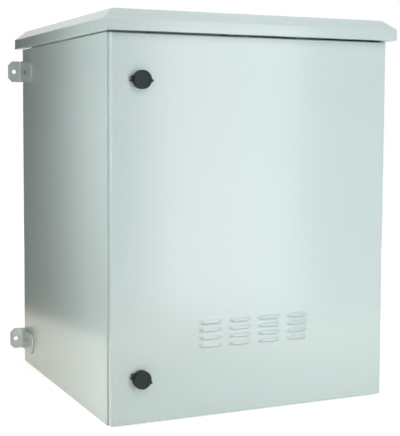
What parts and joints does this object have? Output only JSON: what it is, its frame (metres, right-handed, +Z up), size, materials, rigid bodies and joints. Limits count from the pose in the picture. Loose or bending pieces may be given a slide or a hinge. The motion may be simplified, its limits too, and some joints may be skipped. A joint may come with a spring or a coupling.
{
  "type": "roadside utility cabinet",
  "caption": "Light grey sheet-steel outdoor equipment cabinet for a wall, with a raised roof, a louvred hinged door, quarter-turn locks under dust caps, wall ears and rack rails inside.",
  "frame": {"origin": "middle of the underside of the body, on the surface that it can stand on", "axes": "+X to the right seen from the front, +Y from the door to the wall, +Z up"},
  "size_m": [0.664, 0.625, 0.778],
  "materials": {
    "grey_paint": "light grey powder coat, fine texture, semi-gloss",
    "zinc_steel": "zinc-plated steel",
    "bolt_steel": "dull zinc-plated bolt heads",
    "black_rubber": "matt",
    "filter_felt": "needled filter fleece",
    "black_plastic": "moulded black plastic, satin",
    "lock_metal": "satin-chromed die-cast zinc"
  },
  "bodies": {
    "cabinet": {"body_wrap": "grey_paint", "floor_pan": "grey_paint", "top_pan": "grey_paint", "roof": "grey_paint", "wall_bracket_upper_left": "grey_paint", "wall_bracket_upper_right": "grey_paint", "wall_bracket_lower_left": "grey_paint", "wall_bracket_lower_right": "grey_paint", "gland_plate": "grey_paint", "roof_spacers": "zinc_steel", "roof_bolts": "zinc_steel", "rack_rail_front_left": "zinc_steel", "rack_rail_front_right": "zinc_steel", "rack_rail_rear_left": "zinc_steel", "rack_rail_rear_right": "zinc_steel", "depth_strut_low_left": "zinc_steel", "depth_strut_low_right": "zinc_steel", "depth_strut_high_left": "zinc_steel", "depth_strut_high_right": "zinc_steel", "rail_bolts": "zinc_steel", "rail_nuts": "zinc_steel", "bracket_nuts": "zinc_steel", "gland_plate_screws": "zinc_steel", "vent_filter_tray": "zinc_steel", "vent_filter_studs": "zinc_steel", "hinge_lug_upper": "zinc_steel", "hinge_lug_lower": "zinc_steel", "body_earth_stud": "zinc_steel", "bracket_bolts": "bolt_steel", "gland_plate_seal": "black_rubber", "cable_grommets": "black_rubber", "vent_filter_mat": "filter_felt"},
    "door": {"door_panel": "grey_paint", "door_seal": "black_rubber", "door_stiffener_left": "grey_paint", "door_stiffener_right": "grey_paint", "louvre_filter_tray": "zinc_steel", "louvre_filter_mat": "filter_felt", "louvre_filter_studs": "zinc_steel", "hinge_bracket_upper": "zinc_steel", "hinge_bracket_lower": "zinc_steel", "hinge_pins": "zinc_steel", "door_earth_stud": "zinc_steel", "lock_housing_upper": "black_plastic", "lock_housing_lower": "black_plastic", "lock_seals": "black_rubber", "lock_nuts": "zinc_steel", "cap_pins": "zinc_steel"},
    "upper_lock": {"lock_spindle_upper": "lock_metal", "lock_cam_upper": "zinc_steel", "lock_screw_upper": "zinc_steel"},
    "lower_lock": {"lock_spindle_lower": "lock_metal", "lock_cam_lower": "zinc_steel", "lock_screw_lower": "zinc_steel"},
    "upper_cap": {"dust_cap_upper": "black_plastic"},
    "lower_cap": {"dust_cap_lower": "black_plastic"}
  },
  "joints": [
    {"name": "door_swing", "type": "hinge", "parent": "cabinet", "child": "door", "pos_m": [0.291, -0.302, 0.368], "axis": [0, 0, 1], "range_deg": [0, 110]},
    {"name": "upper_lock_turn", "type": "hinge", "parent": "door", "child": "upper_lock", "pos_m": [-0.2405, -0.311, 0.6483], "axis": [0, 1, 0], "range_deg": [0, 90]},
    {"name": "lower_lock_turn", "type": "hinge", "parent": "door", "child": "lower_lock", "pos_m": [-0.2405, -0.311, 0.0887], "axis": [0, 1, 0], "range_deg": [0, 90]},
    {"name": "upper_cap_flip", "type": "hinge", "parent": "door", "child": "upper_cap", "pos_m": [-0.26042, -0.31715, 0.65004], "axis": [-0.0872, 0, -0.9962], "range_deg": [0, 110]},
    {"name": "lower_cap_flip", "type": "hinge", "parent": "door", "child": "lower_cap", "pos_m": [-0.25917, -0.31715, 0.09587], "axis": [-0.3584, 0, -0.9336], "range_deg": [0, 110]}
  ]
}
